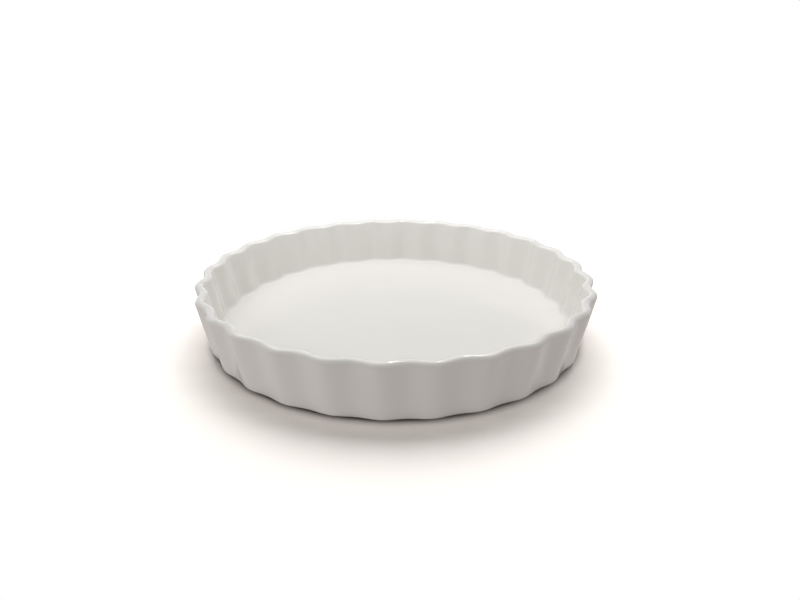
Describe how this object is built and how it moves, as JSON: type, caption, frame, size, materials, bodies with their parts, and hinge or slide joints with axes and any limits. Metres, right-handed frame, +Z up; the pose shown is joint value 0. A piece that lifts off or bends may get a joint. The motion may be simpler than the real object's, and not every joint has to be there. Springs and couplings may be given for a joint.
{
  "type": "fluted baking dish",
  "caption": "Round shallow fluted ceramic baking dish for flans, quiches and cakes, white glazed inside and out, standing on a bare clay foot ring.",
  "frame": {"origin": "middle of the dish on the table, under the foot ring", "axes": "+Z up along the dish's axis, +X and +Y through flute crests"},
  "size_m": [0.28, 0.28, 0.041],
  "materials": {
    "stoneware": "bare fired clay, matt",
    "glaze": "clear gloss over white"
  },
  "bodies": {
    "root": {"stoneware_body": "stoneware", "glaze_coat": "glaze", "underside_glaze": "glaze"}
  },
  "joints": []
}
